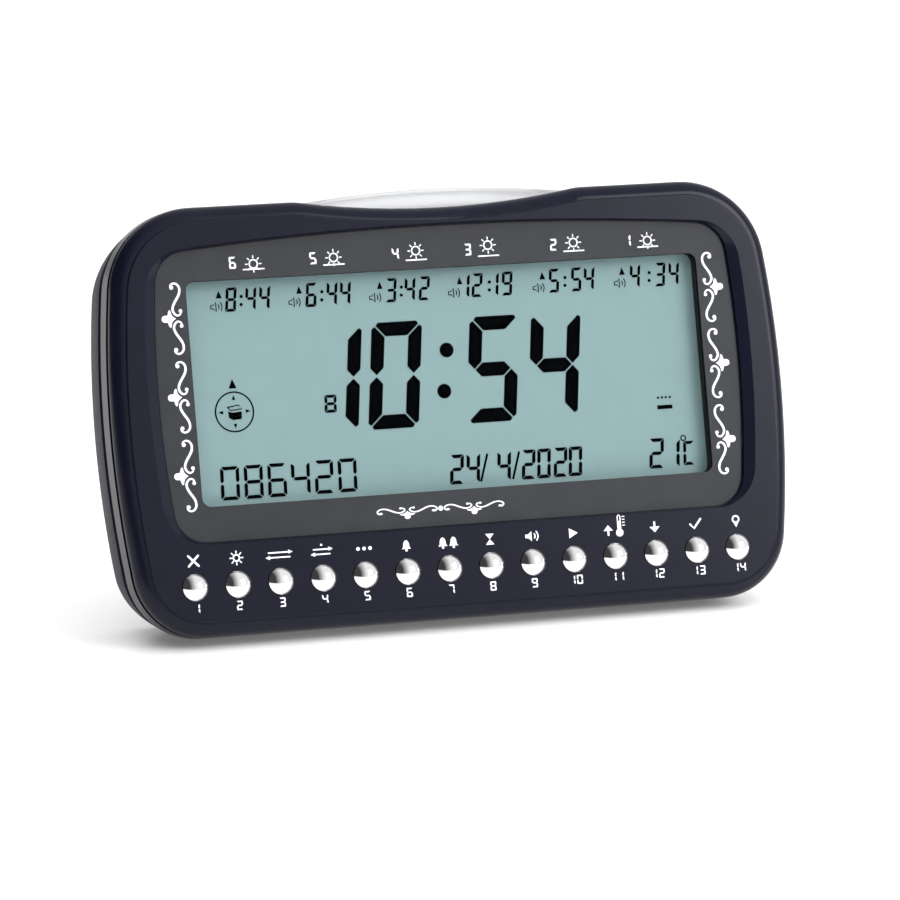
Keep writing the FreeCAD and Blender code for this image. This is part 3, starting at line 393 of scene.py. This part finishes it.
def stroke(points, width, ends=True):
    """A line of changing width: width is a number or a function of the share of the way along."""
    wf = width if callable(width) else (lambda t: width)
    n = len(points)
    left, right = [], []
    for i, p in enumerate(points):
        a, b = points[max(i - 1, 0)], points[min(i + 1, n - 1)]
        d = Vector((b[0] - a[0], b[1] - a[1]))
        if d.length < 1e-9:
            continue
        d.normalize()
        w = wf(i / (n - 1)) / 2
        left.append((p[0] - d.y * w, p[1] + d.x * w))
        right.append((p[0] + d.y * w, p[1] - d.x * w))
    out = []
    for i in range(len(left) - 1):
        out.append([left[i], right[i], right[i + 1], left[i + 1]])
    if ends:
        out.append(disc(points[0][0], points[0][1], wf(0) / 2, 14))
        out.append(disc(points[-1][0], points[-1][1], wf(1) / 2, 14))
    return out


def seg7(ch, x0, v0, w, h, t, gap, slant=0.1175, c=0.0):
    m = h / 2
    g = gap
    P = {
        "a": [(c, h), (w - c, h), (w - c / 2 - g, h - c / 2), (w - t - g, h - t), (t + g, h - t), (c / 2 + g, h - c / 2)],
        "b": [(w, h - c), (w - c / 2, h - c / 2 - g), (w - t, h - t - g), (w - t, m + t / 2 + g), (w - t / 2, m + g), (w, m + t / 2 + g)],
        "c": [(w, c), (w, m - t / 2 - g), (w - t / 2, m - g), (w - t, m - t / 2 - g), (w - t, t + g), (w - c / 2, c / 2 + g)],
        "d": [(c, 0), (c / 2 + g, c / 2), (t + g, t), (w - t - g, t), (w - c / 2 - g, c / 2), (w - c, 0)],
        "g": [(t / 2 + g, m), (t + g, m + t / 2), (w - t - g, m + t / 2), (w - t / 2 - g, m), (w - t - g, m - t / 2), (t + g, m - t / 2)],
    }
    P["f"] = [(w - p[0], p[1]) for p in P["b"]]
    P["e"] = [(w - p[0], p[1]) for p in P["c"]]
    on = {"0": "abcdef", "1": "bc", "2": "abged", "3": "abgcd", "4": "fgbc", "5": "afgcd", "6": "afgecd",
          "7": "abc", "8": "abcdefg", "9": "abcfgd", "C": "afed"}[ch]
    return [[(x0 + px + slant * pv, v0 + pv) for px, pv in P[s]] for s in on]


# ---------------------------------------------------------------- display segments
S_LCD = 6.36
ink = []
for ch, x0 in (("1", -43.6), ("0", -26.4), ("5", 1.7), ("4", 19.5)):
    ink += seg7(ch, x0, 38.8, 14.4, 28.8, 3.8, 0.26, c=1.7)
ink += [disc(-2.3, 59.1, 2.0, 36), disc(-3.9, 48.0, 2.0, 36)]
for ch, x0 in (("8", -64.0), ("4", -58.45), ("4", -54.55), ("6", -41.35), ("4", -35.5), ("4", -31.7),
               ("3", -18.65), ("4", -13.25), ("2", -9.1), ("1", 2.4), ("2", 6.1), ("1", 10.8), ("9", 14.75),
               ("5", 28.4), ("5", 34.9), ("4", 38.6), ("4", 52.1), ("3", 59.5), ("4", 63.5)):
    ink += seg7(ch, x0, 72.95, 3.0, 6.45, 0.78, 0.09, c=0.3)
for x in (-59.25, -36.5, -13.85, 11.5, 33.45, 58.15):
    ink += [disc(x + 0.1, 76.85, 0.45, 16), disc(x - 0.1, 74.7, 0.45, 16)]
for a, b in ((-66.3, -64.6), (-43.65, -42.0), (-20.7, -19.1), (2.2, 3.8), (26.1, 27.8), (49.4, 51.1)):
    mid = (a + b) / 2
    ink += [[(a, 76.7), (b, 76.7), (mid, 78.7)]]
for a in (-67.9, -45.9, -23.0, -0.4, 24.1, 47.8):
    ink += stroke([(a, 74.0), (a, 74.9), (a + 0.7, 74.9), (a + 1.45, 75.7), (a + 1.45, 73.2), (a + 0.7, 74.0), (a, 74.0)], 0.26)
    ink += ring(a + 1.4, 74.45, 0.95, 0.25, -42, 42, 8) + ring(a + 1.4, 74.45, 1.75, 0.25, -42, 42, 10)
for ch, x0 in (("2", -4.4), ("4", 0.3), ("4", 9.2), ("2", 16.3), ("0", 20.75), ("2", 25.55), ("0", 29.9)):
    ink += seg7(ch, x0, 22.6, 3.9, 8.0, 0.95, 0.1, 0.09, c=0.35)
for x0 in (4.55, 13.75):
    ink += stroke([(x0, 22.9), (x0 + 2.4, 30.3)], 0.6, False)
ink += seg7("2", 53.6, 23.1, 4.2, 8.2, 0.95, 0.1, 0.09, c=0.35) + seg7("1", 58.6, 23.1, 3.9, 7.6, 0.95, 0.1, 0.09, c=0.35)
ink += ring(64.2, 30.9, 0.7, 0.32, 0, 360, 20) + seg7("C", 63.7, 23.4, 3.2, 6.6, 0.85, 0.1, 0.06, c=0.3)
for k, ch in enumerate("086420"):
    ink += seg7(ch, -69.2 + 6.62 * k, 22.6, 5.3, 9.0, 0.95, 0.16, 0.03, c=0.6)
ink += ring(-63.6, 46.1, 5.3, 0.4, 0, 360, 72)
ink += [[(-64.7, 52.4), (-62.5, 52.4), (-63.6, 54.9)]]
for a in (90, 0, 180, 270):
    q = math.radians(a)
    cx, cz = -63.6 + 3.75 * math.cos(q), 46.1 + 3.75 * math.sin(q)
    ink += [[(cx + 0.75 * math.cos(q), cz + 0.75 * math.sin(q)),
             (cx - 0.55 * math.cos(q) - 0.5 * math.sin(q), cz - 0.55 * math.sin(q) + 0.5 * math.cos(q)),
             (cx - 0.55 * math.cos(q) + 0.5 * math.sin(q), cz - 0.55 * math.sin(q) - 0.5 * math.cos(q))]]
ink += [[(-65.4, 46.3), (-65.2, 44.5), (-64.1, 43.9), (-61.7, 44.1), (-61.6, 46.1), (-64.2, 45.9)]]
ink += stroke([(-65.5, 47.4), (-62.3, 47.85), (-61.5, 46.8), (-64.6, 46.5), (-65.5, 47.4)], 0.3)
ink += seg7("8", -38.3, 44.2, 3.4, 4.8, 0.8, 0.1, 0.05, c=0.25)
ink += [disc(57.8 + 1.15 * k, 42.4, 0.33, 14) for k in range(4)] + [[(57.4, 39.2), (61.8, 39.2), (61.8, 40.3), (57.4, 40.3)]]
segments = layer("display_segments", [[seen(u, v, S_LCD) for u, v in lp] for lp in ink], 6.32, 6.39, "ink")
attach(segments, "clock_body")

# ---------------------------------------------------------------- lens back print with the window left open
ARCH = 850.0


def lens_loop(extra, n=24):
    """The lens outline: bowed sides, round corners, a slightly arched top."""
    half, mid, rs, z0, z1, r = 83.45 + extra, 65.9, 300.0, 25.3 - extra, 106.8 + extra, 9.0 + extra
    csx = half - rs
    zc = z0 + r
    cb = (csx + math.sqrt((rs - r) ** 2 - (zc - mid) ** 2), zc)
    ct0 = (0.0, z1 - ARCH)
    d0, d1 = rs - r, ARCH - r
    ex, ez = ct0[0] - csx, ct0[1] - mid
    dd = math.hypot(ex, ez)
    k = (d0 * d0 - d1 * d1 + dd * dd) / (2 * dd)
    hh = math.sqrt(max(d0 * d0 - k * k, 0))
    mx, mz = csx + ex / dd * k, mid + ez / dd * k
    ct = max([(mx - ez / dd * hh, mz + ex / dd * hh), (mx + ez / dd * hh, mz - ex / dd * hh)], key=lambda p: p[0] + p[1])
    ang = lambda c, p: math.atan2(p[1] - c[1], p[0] - c[0])
    cs = (csx, mid)
    pts = [(0.0, z0), (cb[0] * 0.5, z0)]
    arc = lambda c, rr, a0, a1, m: [(c[0] + rr * math.cos(a0 + (a1 - a0) * i / m), c[1] + rr * math.sin(a0 + (a1 - a0) * i / m)) for i in range(m + 1)]
    pts += arc(cb, r, -math.pi / 2, ang(cs, cb), n)
    pts += arc(cs, rs, ang(cs, cb), ang(cs, ct), n)[1:]
    pts += arc(ct, r, ang(cs, ct), ang(ct0, ct), n)[1:]
    pts += arc(ct0, ARCH, ang(ct0, ct), math.pi / 2, n)[1:]
    return pts + [(-p[0], p[1]) for p in reversed(pts[1:-1])]


def rrect(x0, x1, z0, z1, r, n=10):
    out = []
    for cx, cz, a in ((x1 - r, z0 + r, -90), (x1 - r, z1 - r, 0), (x0 + r, z1 - r, 90), (x0 + r, z0 + r, 180)):
        out += [(cx + r * math.cos(math.radians(a + 90 * k / n)), cz + r * math.sin(math.radians(a + 90 * k / n))) for k in range(n + 1)]
    return out


border = layer("lens_border_print", [lens_loop(-0.12)], 2.10, 2.16, "print_dark",
               holes=[rrect(-73.5, 73.5, 34.85, 95.35, 2.5)])
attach(border, "clock_body")

# ---------------------------------------------------------------- white ornament and legends on the lens
orn = []
S_PATH = [(-0.45, 8.25), (-0.55, 8.75), (-0.2, 9.2), (0.5, 9.45), (1.35, 9.15), (1.92, 8.3), (1.95, 7.2), (1.6, 6.2), (0.9, 5.1),
          (0.25, 4.1), (-0.2, 3.1), (-0.3, 2.3), (-0.05, 1.6), (0.45, 1.0), (1.05, 0.8), (1.65, 1.05), (1.95, 1.5), (1.95, 1.9)]
FLEUR = [(0.45, 0), (-0.2, 0.41), (-0.65, 0.91), (-0.85, 1.5), (-0.95, 2.1), (-1.1, 2.36), (-1.35, 2.31), (-1.65, 1.8), (-1.8, 1.1),
         (-2.0, 0.9), (-2.6, 0.95), (-3.1, 0.8), (-3.45, 0.45), (-3.55, 0)]
FLEUR = FLEUR + [(p[0], -p[1]) for p in reversed(FLEUR[1:-1])]
curve = smooth(S_PATH, 5)
wide = lambda t: 0.36 + 0.30 * math.sin(math.pi * t)


def motif():
    out = []
    for sz in (1, -1):
        out += [[(p[0], p[1] * sz) for p in lp] for lp in stroke(curve, wide)]
        out += [disc(-0.2, 8.36 * sz, 0.55, 20), disc(1.85, 2.0 * sz, 0.5, 20)]
    return out + [FLEUR]


for zc in (72.09 + 13.6, 50.99 + 13.6, 29.89 + 13.6):
    for lp in motif():
        orn.append([(p[0] - 77.3, p[1] + zc) for p in lp])
        orn.append([(77.3 - p[0], p[1] + zc) for p in lp])
# two of the same scrolls lying along the lower edge of the lens
for s in (1, -1):
    for lp in motif():
        orn.append([(s * (p[1] * 0.9 + 9.6) - 6.6, 30.0 + p[0] * 0.55 - 0.2) for p in lp])
orn += [disc(-6.6, 30.1, 0.7, 20)]


def sun(x, z, height, r=1.15):
    """A sun over a horizon line; height runs from -1 (below) to 1 (high)."""
    out = ring(x, z + height * 1.0, r, 0.36, 0, 360, 24)
    for k in range(8):
        q = math.radians(45 * k)
        a, b = r + 0.5, r + 1.05
        pa = (x + a * math.cos(q), z + height + a * math.sin(q))
        pb = (x + b * math.cos(q), z + height + b * math.sin(q))
        out += stroke([pa, pb], 0.3)
    out += stroke([(x - 2.9, z - 2.0), (x + 2.9, z - 2.0)], 0.36)
    return out


HEAD = [(-56.7, "6"), (-34.0, "5"), (-10.5, "4"), (10.3, "3"), (35.1, "2"), (56.8, "1")]
for (u, digit), lift in zip(HEAD, (-0.6, -0.1, 0.5, 0.9, 0.3, -0.3)):
    x, z = seen(u, 85.9, 2.2)
    orn += [[(p[0], p[1]) for p in lp] for lp in seg7(digit, x - 5.2, z - 1.5, 1.9, 3.2, 0.5, 0.04, 0.0, c=0.2)]
    orn += sun(x + 1.6, z + 0.1, lift)
lens_print = layer("lens_white_print", orn, 2.00, 2.07, "white")
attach(lens_print, "clock_body")

# ---------------------------------------------------------------- pictograms and numbers beside the buttons
icons = []


def put(k, loops, z=20.7, scale=1.14):
    x = (k - 6.5) * 12.0
    for lp in loops:
        icons.append([(x + p[0] * scale, z + p[1] * scale) for p in lp])


W = 0.5
put(0, stroke([(-1.2, -1.2), (1.2, 1.2)], W) + stroke([(-1.2, 1.2), (1.2, -1.2)], W))
put(1, ring(0, 0, 0.75, 0.38, 0, 360, 20) + sum((stroke([(1.15 * math.cos(math.radians(a)), 1.15 * math.sin(math.radians(a))),
    (1.6 * math.cos(math.radians(a)), 1.6 * math.sin(math.radians(a)))], 0.3) for a in range(0, 360, 45)), []))
for k in (2, 3):
    w = 2.6 if k == 2 else 2.0
    put(k, stroke([(-w, 0.55), (w, 0.55)], 0.34) + [[(w - 0.3, 0.1), (w + 0.8, 0.55), (w - 0.3, 1.1)]]
        + stroke([(-w, -0.6), (w, -0.6)], 0.34) + [[(-w + 0.3, -0.1), (-w - 0.8, -0.6), (-w + 0.3, -1.1)]])
put(3, [disc(0, 1.6, 0.28, 12)])
put(4, [disc(-1.5, 0, 0.45, 16), disc(0, 0, 0.45, 16), disc(1.5, 0, 0.45, 16)])


def bell(x):
    return [[(x - 1.15, -0.85), (x + 1.15, -0.85), (x + 0.8, -0.4), (x + 0.7, 0.5), (x + 0.4, 1.05), (x, 1.25), (x - 0.4, 1.05),
             (x - 0.7, 0.5), (x - 0.8, -0.4)], disc(x, -1.15, 0.32, 12)]


put(5, bell(0.0))
put(6, bell(-1.35) + bell(1.35))
put(7, [[(-1.05, 1.3), (1.05, 1.3), (0, 0)], [(-1.05, -1.3), (1.05, -1.3), (0, 0)]])
put(8, [[(-1.5, -0.45), (-1.5, 0.45), (-0.8, 0.45), (0.1, 1.2), (0.1, -1.2), (-0.8, -0.45)]]
    + ring(0.1, 0, 0.85, 0.32, -45, 45, 8) + ring(0.1, 0, 1.6, 0.32, -45, 45, 10))
put(9, [[(-0.9, -1.2), (-0.9, 1.2), (1.3, 0.0)]])
put(10, [[(-2.6, -0.1), (-1.4, 1.25), (-0.2, -0.1)]] + stroke([(-1.4, -1.1), (-1.4, 0.2)], 0.5))
put(10, [disc(1.5, -0.7, 0.95, 24)] + stroke([(1.15, 0.0), (1.15, 3.2), (1.5, 3.55), (1.85, 3.2), (1.85, 0.0)], 0.26)
    + stroke([(1.5, 0.0), (1.5, 2.0)], 0.3) + [[(2.3, 0.9 + 0.7 * j), (3.0, 0.9 + 0.7 * j), (3.0, 1.12 + 0.7 * j), (2.3, 1.12 + 0.7 * j)] for j in range(4)])
put(11, [[(-1.3, 0.1), (0.0, -1.25), (1.3, 0.1)]] + stroke([(0, 1.15), (0, -0.1)], 0.5))
put(12, stroke([(-1.3, 0.0), (-0.4, -1.0), (1.4, 1.15)], 0.5))
put(13, ring(0, 0.45, 0.8, 0.42, 0, 360, 20) + [[(-0.8, -0.05), (0.8, -0.05), (0, -1.5)]])
for k in range(14):
    x = (k - 6.5) * 12.0
    text = str(k + 1)
    for j, ch in enumerate(text):
        icons += seg7(ch, x + (j - len(text) / 2) * 2.2 + 0.2, 6.75, 1.7, 2.5, 0.4, 0.03, 0.0, c=0.15)
legends = layer("button_legends", icons, -0.025, 0.02, "white")
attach(legends, "clock_body")

# ---------------------------------------------------------------- floor and light
def floor_mesh():
    me = bpy.data.meshes.new("floor")
    n = 96
    rings = [0.35, 0.8, 1.6, 3.0, 6.0]
    v = [(0, 0, 0)] + [(r * math.cos(2 * math.pi * k / n), r * math.sin(2 * math.pi * k / n), 0) for r in rings for k in range(n)]
    f = [(0, 1 + k, 1 + (k + 1) % n) for k in range(n)]
    for j in range(len(rings) - 1):
        a, b = 1 + j * n, 1 + (j + 1) * n
        f += [(a + k, b + k, b + (k + 1) % n, a + (k + 1) % n) for k in range(n)]
    me.from_pydata(v, [], f)
    o = bpy.data.objects.new("floor", me)
    SCENE.collection.objects.link(o)
    m, nt, b = principled("floor_white", (0.86, 0.86, 0.86), 0.35, spec=0.25)
    grain(nt, b, 60, 0.0, 0.0, (0.28, 0.34), (1, 1, 1), ((0.855, 0.855, 0.855), (0.865, 0.865, 0.865)))
    b.inputs["Emission Color"].default_value = (1, 1, 1, 1)
    b.inputs["Emission Strength"].default_value = 0.14
    me.materials.append(m)


floor_mesh()


def lamp(kind, name, at, aim, energy, size=None, angle=None):
    d = bpy.data.lights.new(name, kind)
    d.energy = energy
    if kind == "AREA":
        d.shape = "RECTANGLE"
        d.size, d.size_y = size
    if kind == "SUN":
        d.angle = math.radians(angle)
    o = bpy.data.objects.new(name, d)
    SCENE.collection.objects.link(o)
    o.location = at
    o.rotation_euler = (Vector(aim) - Vector(at)).to_track_quat("-Z", "Y").to_euler()
    return o


sky = lamp("SUN", "sky_soft", (0.4, -0.5, 3.0), (0, 0, 0), 2.85, angle=100)
sky.visible_glossy = False
lamp("AREA", "key_right", (1.1, -1.3, 0.85), (0, 0, 0.06), 16.0, size=(0.9, 0.9))
w = bpy.data.worlds.new("studio")
SCENE.world = w
w.use_nodes = True
nt = w.node_tree
bg = nt.nodes["Background"]
bg.inputs["Color"].default_value = (1, 1, 1, 1)
tcw = nt.nodes.new("ShaderNodeTexCoord")
sep = nt.nodes.new("ShaderNodeSeparateXYZ")
grad = nt.nodes.new("ShaderNodeMapRange")
grad.inputs["From Min"].default_value = -0.55
grad.inputs["From Max"].default_value = 0.15
grad.inputs["To Min"].default_value = 0.05
grad.inputs["To Max"].default_value = 0.88
nt.links.new(tcw.outputs["Generated"], sep.inputs["Vector"])
nt.links.new(sep.outputs["X"], grad.inputs["Value"])
nt.links.new(grad.outputs["Result"], bg.inputs["Strength"])
bg2 = nt.nodes.new("ShaderNodeBackground")
bg2.inputs["Color"].default_value = (1, 1, 1, 1)
bg2.inputs["Strength"].default_value = 1.0
lp = nt.nodes.new("ShaderNodeLightPath")
mx = nt.nodes.new("ShaderNodeMixShader")
nt.links.new(lp.outputs["Is Camera Ray"], mx.inputs["Fac"])
nt.links.new(bg.outputs["Background"], mx.inputs[1])
nt.links.new(bg2.outputs["Background"], mx.inputs[2])
nt.links.new(mx.outputs["Shader"], nt.nodes["World Output"].inputs["Surface"])
SCENE.view_settings.view_transform = "Standard"
SCENE.view_settings.look = "None"
